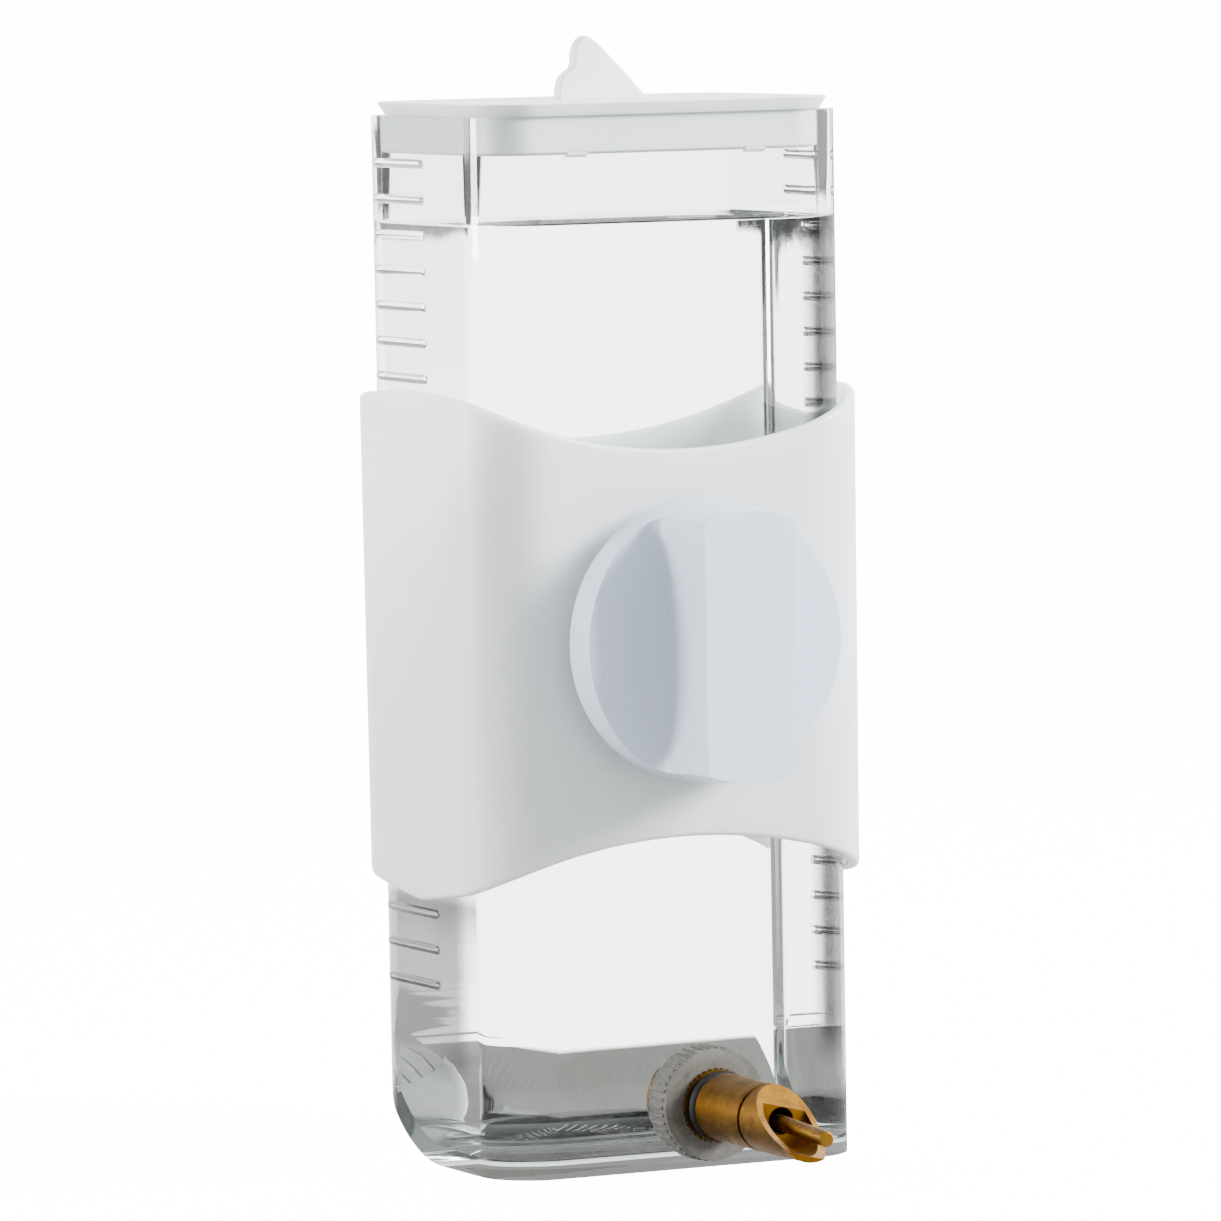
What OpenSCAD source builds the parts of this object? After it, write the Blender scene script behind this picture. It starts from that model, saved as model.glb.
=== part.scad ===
// Bird cage waterer: clear bottle with a plug lid, a clamp-on sleeve with a knob, and a brass pin nozzle.
// Millimetres. +Z is up, -Y is the side that faces the cage. The origin is the middle of the bottle's flat foot.

/* [Bottle] */
// Width of the bottle at the rim
bottle_w = 57.8; // [54:0.2:64]
// Depth of the bottle at the rim, front to back
bottle_d = 45; // [44:0.5:50]
// Height of the bottle from foot to rim
bottle_h = 149.5; // [146:0.5:165]
// Radius of the upright corners at the rim
corner_r = 8.4; // [7.6:0.1:10]
// How much each side draws in from rim to foot
draft = 0.26; // [0:0.02:0.6]
// Thickness of the walls
wall = 2.2; // [1.8:0.1:2.6]
// Thickness of the floor
floor_t = 2.6; // [2:0.1:3.4]
// Radius of the front and side edges of the foot
foot_r = 3; // [2:0.25:4]
// Radius of the curved back of the foot, which drains toward the nozzle
back_r = 23.6; // [20:0.2:26]
// Width of the chamfer outside the rim
rim_chamfer = 0.7; // [0.4:0.1:1]

/* [Graduation ribs] */
// Number of ribs in each row
rib_n = 24; // [12:1:24]
// Distance from one rib to the next
rib_pitch = 5.08; // [4.5:0.02:5.1]
// Depth of the first rib below the rim
rib_drop = 6.7; // [6:0.1:9]
// Height of one rib
rib_h = 1.35; // [1:0.05:1.6]
// How far a rib stands out from the wall
rib_out = 0.45; // [0.3:0.05:0.5]
// Length of a rib in the left row, which runs to the back corner
rib_left = 17; // [12:0.5:18]
// Length of a rib in the right row, which runs to the front corner
rib_right = 13.5; // [10:0.5:18]
// Distance from the middle of the side to the outer end of both rows
rib_reach = 15.5; // [14:0.5:16]

/* [Lid] */
// How far the flange lies inside the bottle's outline
lid_inset = 0.8; // [0.6:0.1:1.2]
// Thickness of the flange
lid_t = 1.25; // [1:0.05:2]
// Height of the sloped neck between the rim and the flange
lid_neck = 0.65; // [0.4:0.05:1]
// Depth of the plug skirt below the rim
skirt_h = 5.2; // [4:0.1:5.4]
// Thickness of the plug skirt
skirt_t = 1.3; // [1:0.1:1.8]
// Gap between the plug skirt and the bottle's inside
lid_gap = 0.25; // [0.2:0.05:0.4]
// Distance of each snap bead from the middle
bead_x = 14; // [8:0.5:16]
// Radius of the snap beads
bead_r = 0.6; // [0.4:0.05:0.7]
// Height of the pull tab above the flange
tab_h = 9; // [8:0.5:12]
// Thickness of the pull tab
tab_t = 2.2; // [1.6:0.1:3]

/* [Sleeve] */
// Height of the bottom edge above the foot, at the sides
sleeve_z = 36.2; // [33:0.2:37]
// Height of the sleeve at its sides
sleeve_h = 75; // [73:0.5:78]
// Gap to the bottle's sides, which clears the ribs
side_gap = 0.85; // [0.8:0.05:1]
// Gap to the bottle's front and back
face_gap = 0.45; // [0.4:0.05:0.6]
// Thickness of the sleeve at its sides
sleeve_wall = 1.65; // [1.45:0.1:2.25]
// How much each side draws in from top to bottom
sleeve_draft = 0.35; // [0.1:0.05:0.6]
// Radius of the curve cut into the top edge
top_arch_r = 72; // [64:1:90]
// Depth of the curve in the top edge, at the front
top_arch = 8.8; // [7:0.2:10]
// Slope of the top curve toward the sides' highest point
top_slope = 3.2; // [0:0.2:5]
// Radius of the curve cut into the bottom edge
low_arch_r = 85; // [70:1:100]
// Depth of the curve in the bottom edge, at the front
low_arch = 11.4; // [9:0.2:12]
// Slope of the bottom curve toward the sides' lowest point
low_slope = 8; // [0:0.2:9]

/* [Clamp] */
// Height of the knob's axis above the foot
knob_z = 75.7; // [74:0.1:77]
// Diameter of the stud
stud_d = 8; // [6:0.5:8]
// Diameter of the stud's head, which sits in the sleeve's wall
stud_head_d = 14; // [12:0.5:16]
// Thickness of the stud's head
stud_head_t = 1.4; // [1:0.1:1.6]
// Diameter of the round pad on the sleeve around the stud
pad_d = 20; // [18:0.5:24]
// Height of the pad
pad_h = 2.2; // [1.6:0.1:2.6]
// Pitch of the stud's thread, which sets how far one turn moves the knob
thread_pitch = 1.25; // [1:0.05:2]
// Diameter of the pressure washer
washer_d = 24; // [20:0.5:26]
// Thickness of the pressure washer
washer_t = 0.8; // [0.6:0.1:1]
// Diameter of the knob at its base
knob_d = 40.2; // [38:0.2:44]
// Depth of the knob from base to face
knob_h = 16.8; // [15:0.2:20]
// How much the knob's radius draws in from base to face
knob_draft = 1.1; // [0.4:0.1:1.4]
// Rounding of the knob's face edge
knob_edge = 0.9; // [0.5:0.1:1.2]
// Width of the grip bar at its face
grip_w = 14.2; // [13:0.1:16]
// Width of the grip bar at its foot
grip_foot_w = 17; // [16:0.1:19]
// Height of the knob's disc at its rim
disc_h = 5.6; // [4.8:0.1:7]
// Height of the disc beside the grip bar, where it dips
dip_h = 3.9; // [3.6:0.1:4.4]
// Radius where the bar's sides run out into the disc
scoop_r = 3.2; // [2:0.1:4]
// Thickness of the knob's shell, seen from behind
knob_wall = 1.9; // [1.5:0.1:2.1]
// Outer diameter of the knob's threaded insert
insert_d = 10.4; // [10:0.2:11]
// Length of the knob's threaded insert
insert_l = 9; // [7:0.5:11]

/* [Nozzle] */
// Height of the nozzle's axis above the foot
nozzle_z = 10.1; // [9.6:0.1:12]
// Outer diameter of the bottle's spout
spout_d = 13; // [12:0.2:14]
// Length of the spout
spout_l = 6.3; // [5.6:0.1:7]
// Outer diameter of the knurled collar
collar_d = 16.3; // [16:0.1:17]
// Length of the collar
collar_l = 5.4; // [4.8:0.1:6]
// Distance from the bottle's front to the collar
collar_s = 3.5; // [3:0.1:4]
// Number of ridges around the collar
knurl_n = 44; // [30:2:60]
// Thickness of the collar's front web
collar_web = 1.2; // [0.8:0.1:1.6]
// Diameter of the tail that screws into the spout
tail_d = 7.6; // [7:0.1:8]
// Diameter of the water passage through the nozzle's base
passage_d = 4.2; // [3.6:0.1:4.6]
// Diameter of the toothed flange
flange_d = 10.6; // [10:0.1:12]
// Thickness of the toothed flange
flange_t = 0.7; // [0.5:0.05:1]
// Number of teeth around the flange
flange_n = 36; // [24:2:48]
// Thickness of the black ring's section
ring_t = 1.9; // [1.6:0.05:2.2]
// Diameter of the brass barrel and its tip
barrel_d = 9.6; // [9.2:0.1:10.4]
// Length of the barrel
barrel_l = 13.2; // [12.6:0.1:15]
// Width of the groove between barrel and tip
groove_w = 0.45; // [0.3:0.05:0.8]
// Length of the tip to the end of its lip
tip_l = 13.1; // [12:0.1:15]
// Bore of the barrel's valve chamber
chamber_d = 7.2; // [7:0.1:7.4]
// Bore of the tip's open mouth
mouth_d = 7.7; // [7.2:0.1:8.2]
// Radius of the curved cut that opens the mouth
mouth_cut_r = 40; // [30:1:60]
// Turn of the mouth's cut about the nozzle's axis
mouth_turn = 14; // [0:1:20]
// Diameter of the valve pin
pin_d = 2.2; // [1.8:0.1:2.4]
// Diameter of the pin's ball head
head_d = 5; // [4.6:0.1:5.2]
// How far the pin stands out past the tip's lip
pin_out = 4.6; // [3:0.1:6]
// Angle at which the pin hangs
pin_droop = 3; // [0:0.5:4]
// Wire thickness of the valve spring
spring_wire = 0.45; // [0.35:0.05:0.5]

/* [Hidden] */
$fn = 96;
e = 0.01;
fit_gap = 0.05;

// Bottle: middle of its depth, and half sizes at a height
mid_y = (back_r - foot_r) / 2;
function half_w(z) = bottle_w / 2 - draft * (1 - z / bottle_h);
function half_d(z) = bottle_d / 2 - draft * (1 - z / bottle_h);
in_w = bottle_w - 2 * wall;
in_d = bottle_d - 2 * wall;
in_r = corner_r - wall;
in_back_r = back_r - wall;

// Lid
lid_z = bottle_h + lid_neck;
lid_w = bottle_w - 2 * lid_inset;
lid_d = bottle_d - 2 * lid_inset;
lid_r = corner_r - lid_inset;
skirt_w = in_w - 2 * lid_gap;
skirt_d = in_d - 2 * lid_gap;
skirt_r = in_r - lid_gap;
neck_w = skirt_w + 2 * (wall + lid_gap - rim_chamfer) - 1;
neck_cut = (lid_w - neck_w) / 2;

// Sleeve: outer size at its top edge
sleeve_top = sleeve_z + sleeve_h;
gap_top = half_w(sleeve_top) + side_gap;
sleeve_w = 2 * (gap_top + sleeve_wall);
sleeve_d = 2 * (half_d(sleeve_top) + side_gap + sleeve_wall);
sleeve_r = corner_r + side_gap + sleeve_wall;
bore_w = 2 * gap_top;
bore_d = 2 * (half_d(sleeve_top) + face_gap);
bore_r = corner_r + face_gap;
sleeve_front = mid_y - sleeve_d / 2 + sleeve_draft * (sleeve_top - knob_z) / sleeve_h;
bore_front = mid_y - bore_d / 2;

// Clamp: places along -Y, measured from the sleeve's front
pad_y = sleeve_front - pad_h;
washer_gap = 0.15;
washer_y = pad_y - washer_gap;
knob_y = washer_y - washer_t - washer_gap;
stud_l = pad_h + 2 * washer_gap + washer_t + insert_l + 3.5;
knob_r = knob_d / 2;
knob_face_r = knob_r - knob_draft;
head_pocket = stud_head_t + fit_gap;
boss_d = insert_d + 3.6;
bore_depth = insert_l + 4;

// Nozzle: distances s run from the bottle's front along -Y
front_y = mid_y - half_d(nozzle_z);
spout_end = spout_l;
gasket_s = spout_end + fit_gap;
web_s = collar_s + collar_l - collar_web;
gasket_t = web_s - gasket_s - fit_gap;
base_s = collar_s + collar_l + fit_gap;
ring_s = base_s + flange_t + fit_gap;
barrel_s = ring_s + ring_t + fit_gap;
tip_s = barrel_s + barrel_l + groove_w;
lip_s = tip_s + tip_l;
spigot_d = 6.2;
spigot_end = barrel_s + 4.6;
tip_spigot = 3.6;
tip_bore = head_d + 0.6;
ring_in = 3.6;
web_in = 3.9;
seat_t = 1.9;
seat_s = tip_s + 0.3;
tip_web_s = seat_s + seat_t + fit_gap;
tip_web_t = 1.4;
pivot_s = seat_s - sqrt(head_d * head_d / 4 - ring_in * ring_in / 4) - fit_gap;
retainer_s = spigot_end + fit_gap;
retainer_t = 0.8;
spring_s = retainer_s + retainer_t + fit_gap;
spring_e = pivot_s - head_d / 2 - fit_gap;
spring_d = 4.4;
spring_turns = 4;
pin_end = lip_s + pin_out - pivot_s;

// A rectangle with round corners
module round_rect(w, d, r) {
    square([w - 2 * r, d], center = true);
    square([w, d - 2 * r], center = true);
    for (x = [-1, 1], y = [-1, 1])
        translate([x * (w / 2 - r), y * (d / 2 - r)]) circle(r);
}

// An upright block with round corners, w by d at its top, drawn in by t on every side at its bottom
module draft_block(w, d, r, h, t) {
    for (x = [-1, 1], y = [-1, 1])
        translate([x * (w / 2 - r), y * (d / 2 - r), 0]) cylinder(h = h, r1 = r - t, r2 = r);
    rotate([90, 0, 0]) linear_extrude(d - 2 * r, center = true)
        polygon([[t - w / 2, 0], [w / 2 - t, 0], [w / 2, h], [-w / 2, h]]);
    rotate([90, 0, 90]) linear_extrude(w - 2 * r, center = true)
        polygon([[t - d / 2, 0], [d / 2 - t, 0], [d / 2, h], [-d / 2, h]]);
}

// A side view with a small front radius and a large back radius, open above both, drawn across the width w
module side_form(w, front, back, z0, z1, fr, br) {
    rotate([90, 0, 90]) linear_extrude(w, center = true) {
        translate([front + fr, z0]) square([back - br - front - fr, z1 - z0]);
        translate([front - 1, z0 + fr]) square([back - br - front + 1, z1 - z0 - fr]);
        translate([back - br - e, z0 + br]) square([br + e + 1, z1 - z0 - br]);
        translate([front + fr, z0 + fr]) circle(fr);
        intersection() {
            translate([back - br, z0 + br]) circle(br);
            translate([back - br - e, z0]) square([br + e, br + e]);
        }
    }
}

// A front view with both bottom edges rounded, drawn through the depth d
module front_form(w, z0, z1, r, d) {
    rotate([90, 0, 0]) linear_extrude(d, center = true) {
        translate([-w / 2 + r, z0]) square([w - 2 * r, z1 - z0]);
        translate([-w / 2 - 1, z0 + r]) square([w + 2, z1 - z0 - r]);
        for (x = [-1, 1]) translate([x * (w / 2 - r), z0 + r]) circle(r);
    }
}

// Puts a shape drawn along +Z onto the nozzle's axis, at the distance s from the bottle's front
module on_nozzle(s = 0) {
    translate([0, front_y - s, nozzle_z]) rotate([90, 0, 0]) children();
}

// Puts a shape drawn along +Z onto the knob's axis, at the place y
module on_clamp(y) {
    translate([0, y, knob_z]) rotate([90, 0, 0]) children();
}

// A pipe along +Z
module pipe(d, bore, l) {
    difference() {
        cylinder(h = l, d = d);
        translate([0, 0, -1]) cylinder(h = l + 2, d = bore);
    }
}

module rib_row(side, l) {
    r = (rib_h * rib_h / 4 + rib_out * rib_out) / (2 * rib_out);
    for (i = [0 : rib_n - 1]) {
        z = bottle_h - rib_drop - i * rib_pitch;
        x = side * (half_w(z) + rib_out - r);
        y0 = mid_y - side * rib_reach;
        y1 = y0 + side * l;
        translate([x, (y0 + y1) / 2, z]) {
            rotate([90, 0, 0]) cylinder(h = l - 2 * r, r = r, center = true, $fn = 32);
            for (k = [-1, 1]) translate([0, k * (l / 2 - r), 0]) sphere(r, $fn = 32);
        }
    }
}

module bottle_outside() {
    intersection() {
        union() {
            translate([0, mid_y, 0]) draft_block(bottle_w, bottle_d, corner_r, bottle_h - rim_chamfer, draft);
            translate([0, mid_y, bottle_h - rim_chamfer - e])
                draft_block(bottle_w - 2 * rim_chamfer, bottle_d - 2 * rim_chamfer,
                    corner_r - rim_chamfer, rim_chamfer + e, -rim_chamfer);
        }
        side_form(bottle_w + 2, mid_y - half_d(foot_r), mid_y + half_d(back_r), 0, bottle_h + 1, foot_r, back_r);
        translate([0, mid_y, 0]) front_form(2 * half_w(foot_r), 0, bottle_h + 1, foot_r, bottle_d + 2);
    }
}

module bottle_inside() {
    r = max(foot_r - wall, 0.6);
    intersection() {
        translate([0, mid_y, 0]) draft_block(in_w, in_d, in_r, bottle_h + e, draft);
        side_form(in_w + 2, mid_y - half_d(floor_t) + wall, mid_y + half_d(back_r) - wall,
            floor_t, bottle_h + 1, r, in_back_r);
        translate([0, mid_y, 0]) front_form(2 * (half_w(floor_t) - wall), floor_t, bottle_h + 1, r, in_d + 2);
    }
}

module bottle() {
    color([0.86, 0.9, 0.9, 0.35]) difference() {
        union() {
            bottle_outside();
            rib_row(-1, rib_left);
            rib_row(1, rib_right);
            on_nozzle(-wall / 2) cylinder(h = spout_end + wall / 2, d = spout_d);
        }
        bottle_inside();
        on_nozzle(-wall - 1) cylinder(h = spout_end + wall + 2, d = tail_d + 2 * fit_gap);
    }
}

// Profile of the pull tab, as heights over the flange in ninths of its own height
module tab_profile() {
    k = tab_h / 9;
    scale([k, k]) {
        translate([-2.7, 8]) circle(1);
        polygon([
            [-7.1, -0.5], [-7.1, 1.3], [-6.9, 2.4], [-6.4, 3.3], [-5.6, 4], [-4.8, 4.5], [-4.6, 5.2],
            [-4.6, 6.6], [-4.2, 7.7], [-3.65, 8.3], [-2.7, 9], [-1.95, 8.66], [-0.8, 8.1], [0.7, 6.5],
            [2.6, 4.7], [4.2, 3], [5.6, 1.3], [6.5, 0.4], [7.4, 0], [7.4, -0.5]
        ]);
    }
}

module lid() {
    color([0.9, 0.92, 0.95]) translate([0, mid_y, 0]) {
        difference() {
            union() {
                translate([0, 0, lid_z]) linear_extrude(lid_t) round_rect(lid_w, lid_d, lid_r);
                translate([0, 0, bottle_h + fit_gap])
                    draft_block(lid_w - 0.5, lid_d - 0.5, lid_r - 0.25, lid_neck - fit_gap + e, neck_cut);
                translate([0, 0, bottle_h - skirt_h])
                    linear_extrude(skirt_h + lid_neck) round_rect(skirt_w, skirt_d, skirt_r);
                for (x = [-1, 1], y = [-1, 1])
                    translate([x * bead_x, y * (skirt_d / 2 - bead_r), bottle_h - skirt_h])
                        rotate([0, 90, 0]) cylinder(h = 3, r = bead_r, center = true, $fn = 32);
            }
            translate([0, 0, bottle_h - skirt_h - 1])
                linear_extrude(skirt_h + 1)
                    round_rect(skirt_w - 2 * skirt_t, skirt_d - 2 * skirt_t, skirt_r - skirt_t);
        }
        translate([0, tab_t / 2, lid_z + lid_t]) rotate([90, 0, 0]) linear_extrude(tab_t) tab_profile();
    }
}

// The tool that curves an edge of the sleeve: two lying cylinders, each sloping up from its own face to the other
module arch(r, z, slope) {
    for (turn = [0, 180]) translate([0, mid_y, 0]) rotate([0, 0, turn])
        translate([0, -sleeve_d / 2, z + r / cos(slope)]) rotate([90 - slope, 0, 180])
            cylinder(h = 4 * sleeve_d, r = r, center = true);
}

module sleeve() {
    color([0.9, 0.93, 0.96]) difference() {
        union() {
            translate([0, mid_y, sleeve_z]) draft_block(sleeve_w, sleeve_d, sleeve_r, sleeve_h, sleeve_draft);
            on_clamp(sleeve_front + 1) cylinder(h = pad_h + 1, d = pad_d);
        }
        translate([0, mid_y, sleeve_z - 1]) linear_extrude(sleeve_h + 2) round_rect(bore_w, bore_d, bore_r);
        arch(top_arch_r, sleeve_top - top_arch, top_slope);
        translate([0, 0, 2 * (sleeve_z + low_arch)]) mirror([0, 0, 1])
            arch(low_arch_r, sleeve_z + low_arch, low_slope);
        on_clamp(bore_front + 1) cylinder(h = 1 + head_pocket, d = stud_head_d + 2 * fit_gap);
        on_clamp(bore_front + 1) cylinder(h = 20, d = stud_d + 2 * fit_gap);
    }
}

module stud() {
    head_y = bore_front - head_pocket + stud_head_t;
    color([0.75, 0.76, 0.78]) {
        on_clamp(head_y) cylinder(h = stud_head_t, d = stud_head_d);
        on_clamp(head_y - stud_head_t + e) cylinder(h = sleeve_front - bore_front + stud_l, d = stud_d);
    }
}

module washer() {
    color([0.78, 0.79, 0.8]) on_clamp(washer_y) pipe(washer_d, stud_d + 2 * fit_gap, washer_t);
}

// Side scoop of the knob: the space beside the grip bar, drawn across the knob
module scoop_profile() {
    foot = grip_foot_w / 2;
    polygon([
        [foot + scoop_r, dip_h], [knob_r + 2, disc_h + 2 * (disc_h - dip_h) / knob_r],
        [knob_r + 2, knob_h + 2], [grip_w / 2, knob_h + 2], [grip_w / 2, knob_h - knob_edge],
        [foot, dip_h + scoop_r], [foot + scoop_r, dip_h + scoop_r]
    ]);
    difference() {
        translate([foot, dip_h]) square([scoop_r + e, scoop_r + e]);
        translate([0, 0]) square([foot, knob_h]);
        difference() {
            translate([foot - e, dip_h - e]) square([scoop_r + 2 * e, scoop_r + 2 * e]);
            translate([foot + scoop_r, dip_h + scoop_r]) circle(scoop_r);
        }
    }
}

module knob() {
    pocket = dip_h - knob_wall;
    slot_w = grip_w - 2 * knob_wall;
    slot_l = 2 * (knob_face_r - 2 * knob_wall);
    color([0.85, 0.88, 0.96]) on_clamp(knob_y) difference() {
        rotate_extrude() {
            polygon([
                [0, 0], [knob_r - 0.3, 0], [knob_r, 0.3],
                [knob_face_r, knob_h - knob_edge], [knob_face_r - knob_edge, knob_h - knob_edge],
                [knob_face_r - knob_edge, knob_h], [0, knob_h]
            ]);
            translate([knob_face_r - knob_edge, knob_h - knob_edge]) circle(knob_edge);
        }
        for (s = [0, 180]) rotate([0, 0, s]) rotate([90, 0, 0])
            linear_extrude(knob_d + 2, center = true) scoop_profile();
        difference() {
            translate([0, 0, -1]) cylinder(h = 1 + pocket, r = knob_r - knob_wall);
            translate([0, 0, -2]) cylinder(h = 3 + pocket, d = boss_d);
            for (a = [0, 60, 120]) rotate([0, 0, a])
                translate([-knob_r, -0.7, 0.6]) cube([knob_d, 1.4, pocket]);
        }
        difference() {
            translate([-slot_w / 2, -slot_l / 2, -1]) cube([slot_w, slot_l, knob_h - knob_wall + 1]);
            translate([0, 0, -1]) cylinder(h = knob_h, d = boss_d);
        }
        translate([0, 0, -1]) cylinder(h = insert_l + 1, d = insert_d + 2 * fit_gap);
        translate([0, 0, -1]) cylinder(h = bore_depth + 1, d = stud_d + 0.6);
    }
}

module knob_insert() {
    color([0.8, 0.62, 0.25]) on_clamp(knob_y - fit_gap)
        pipe(insert_d, stud_d + 2 * fit_gap, insert_l - 2 * fit_gap);
}

module collar() {
    bead = PI * collar_d / knurl_n / 2;
    color([0.85, 0.88, 0.88, 0.5]) on_nozzle(collar_s) difference() {
        union() {
            cylinder(h = collar_l, d = collar_d - bead);
            for (i = [0 : knurl_n - 1]) rotate([0, 0, i * 360 / knurl_n])
                translate([(collar_d - bead) / 2, 0, 0.3]) cylinder(h = collar_l - 1.3, d = bead, $fn = 6);
        }
        translate([0, 0, -1]) cylinder(h = collar_l - collar_web + 1, d = spout_d + 2 * fit_gap);
        translate([0, 0, -1]) cylinder(h = collar_l + 2, d = tail_d + 2 * fit_gap);
    }
}

module gasket() {
    color([0.75, 0.25, 0.2]) on_nozzle(gasket_s) pipe(spout_d - 0.2, tail_d + 2 * fit_gap, gasket_t);
}

module nozzle_base() {
    tooth = PI * flange_d / flange_n / 2;
    color([0.83, 0.62, 0.2]) on_nozzle() difference() {
        union() {
            translate([0, 0, -wall]) cylinder(h = wall + base_s + flange_t / 2, d = tail_d);
            translate([0, 0, base_s]) cylinder(h = flange_t, d = flange_d - tooth);
            for (i = [0 : flange_n - 1]) rotate([0, 0, i * 360 / flange_n])
                translate([(flange_d - tooth) / 2, 0, base_s + fit_gap])
                    cylinder(h = flange_t - 2 * fit_gap, d = tooth, $fn = 6);
            translate([0, 0, base_s]) cylinder(h = spigot_end - base_s, d = spigot_d);
        }
        translate([0, 0, -wall - 1]) cylinder(h = wall + spigot_end + 2, d = passage_d);
    }
}

module black_ring() {
    color([0.08, 0.08, 0.08]) on_nozzle(ring_s + ring_t / 2) rotate_extrude()
        translate([spigot_d / 2 + fit_gap + ring_t / 2, 0]) circle(ring_t / 2);
}

module barrel() {
    edge = 0.35;
    color([0.8, 0.58, 0.17]) on_nozzle(barrel_s) difference() {
        union() {
            cylinder(h = edge + e, d1 = barrel_d - 2 * edge, d2 = barrel_d);
            translate([0, 0, edge]) cylinder(h = barrel_l - edge, d = barrel_d);
        }
        translate([0, 0, -1]) cylinder(h = spigot_end - barrel_s + 1, d = spigot_d + 2 * fit_gap);
        translate([0, 0, spigot_end - barrel_s]) cylinder(h = barrel_l, d = chamber_d);
    }
}

module retainer() {
    color([0.75, 0.76, 0.78]) on_nozzle(retainer_s) pipe(chamber_d - 2 * fit_gap, 3, retainer_t);
}

// One point of the spring's wire: turn t around the coil, angle a around the wire
function coil_point(t, a, w) =
    let (r = spring_d / 2 - w + w * cos(a),
        z = w + (spring_e - spring_s - 2 * w) * t / spring_turns + w * sin(a))
    [r * cos(360 * t), r * sin(360 * t), z];

module spring() {
    w = spring_wire / 2;
    steps = 16 * spring_turns;
    sides = 8;
    points = [
        for (i = [0 : steps], k = [0 : sides - 1])
            coil_point(i * spring_turns / steps, k * 360 / sides, w)
    ];
    faces = [
        [for (k = [0 : sides - 1]) k],
        for (i = [0 : steps - 1], k = [0 : sides - 1])
            let (a = i * sides + k, b = i * sides + (k + 1) % sides) [b, a, a + sides],
        for (i = [0 : steps - 1], k = [0 : sides - 1])
            let (a = i * sides + k, b = i * sides + (k + 1) % sides) [b, a + sides, b + sides],
        [for (k = [sides - 1 : -1 : 0]) steps * sides + k]
    ];
    color([0.7, 0.71, 0.73]) on_nozzle(spring_s) polyhedron(points, faces);
}

module seat_ring() {
    color([0.15, 0.15, 0.15]) on_nozzle(seat_s) pipe(tip_bore - 2 * fit_gap, ring_in, seat_t);
}

// The mouth: a wide lying cylinder slices the tip from above its root down to the lip
module mouth_cut() {
    start = [tip_s + 0.6, barrel_d / 2];
    chord = [lip_s, -mouth_d / 2] - start;
    middle = start + chord / 2 + [-chord[1], chord[0]] * sqrt(pow(mouth_cut_r / norm(chord), 2) - 0.25);
    translate([0, middle[1], middle[0]])
        rotate([0, 90, 0]) cylinder(h = 4 * barrel_d, r = mouth_cut_r, center = true, $fn = 128);
}

module tip() {
    edge = 0.3;
    color([0.83, 0.62, 0.2]) on_nozzle() difference() {
        union() {
            translate([0, 0, tip_s - groove_w - tip_spigot])
                cylinder(h = tip_spigot + groove_w + 1, d = chamber_d - 2 * fit_gap);
            translate([0, 0, tip_s]) cylinder(h = edge + e, d1 = barrel_d - 2 * edge, d2 = barrel_d);
            translate([0, 0, tip_s + edge]) cylinder(h = tip_l - edge, d = barrel_d);
        }
        translate([0, 0, tip_s - tip_spigot - 2]) cylinder(h = tip_spigot + 2 + tip_web_s - tip_s, d = tip_bore);
        translate([0, 0, tip_web_s - 1]) cylinder(h = tip_web_t + 2, d = web_in);
        translate([0, 0, tip_web_s + tip_web_t]) cylinder(h = tip_l, d = mouth_d);
        rotate([0, 0, -mouth_turn]) mouth_cut();
    }
}

module valve_pin() {
    color([0.85, 0.65, 0.22]) on_nozzle(pivot_s) rotate([pin_droop, 0, 0]) {
        sphere(d = head_d);
        cylinder(h = pin_end - pin_d / 2, d = pin_d);
        translate([0, 0, pin_end - pin_d / 2]) intersection() {
            cylinder(h = pin_d / 2, d = pin_d);
            sphere(d = pin_d * 1.25);
        }
    }
}

bottle();
lid();
sleeve();
stud();
washer();
knob();
knob_insert();
collar();
gasket();
nozzle_base();
black_ring();
barrel();
retainer();
spring();
seat_ring();
tip();
valve_pin();
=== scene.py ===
"""Bird cage waterer: a clear moulded bottle with water, a white plug lid, a clamp-on sleeve with a knob
and a brass pin nozzle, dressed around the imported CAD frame. Sizes are in millimetres, objects in metres."""

import logging
import math
from dataclasses import dataclass
from enum import Enum
from typing import Callable, Iterable

import bpy
from mathutils import Matrix, Vector


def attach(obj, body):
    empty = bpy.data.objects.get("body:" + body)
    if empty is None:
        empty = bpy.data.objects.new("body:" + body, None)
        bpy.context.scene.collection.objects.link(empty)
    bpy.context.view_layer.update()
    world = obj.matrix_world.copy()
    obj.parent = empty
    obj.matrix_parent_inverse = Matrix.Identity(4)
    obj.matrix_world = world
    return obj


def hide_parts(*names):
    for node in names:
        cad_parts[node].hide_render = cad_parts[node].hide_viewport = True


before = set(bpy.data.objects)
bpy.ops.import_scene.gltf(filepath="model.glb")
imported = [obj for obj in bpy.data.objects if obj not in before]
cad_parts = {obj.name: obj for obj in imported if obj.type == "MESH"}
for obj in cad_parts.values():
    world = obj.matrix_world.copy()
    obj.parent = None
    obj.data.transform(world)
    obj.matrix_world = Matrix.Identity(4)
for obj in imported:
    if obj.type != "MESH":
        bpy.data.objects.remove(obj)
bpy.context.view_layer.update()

logging.basicConfig(level=logging.INFO, format="%(message)s")
LOG = logging.getLogger("waterer")

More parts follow.
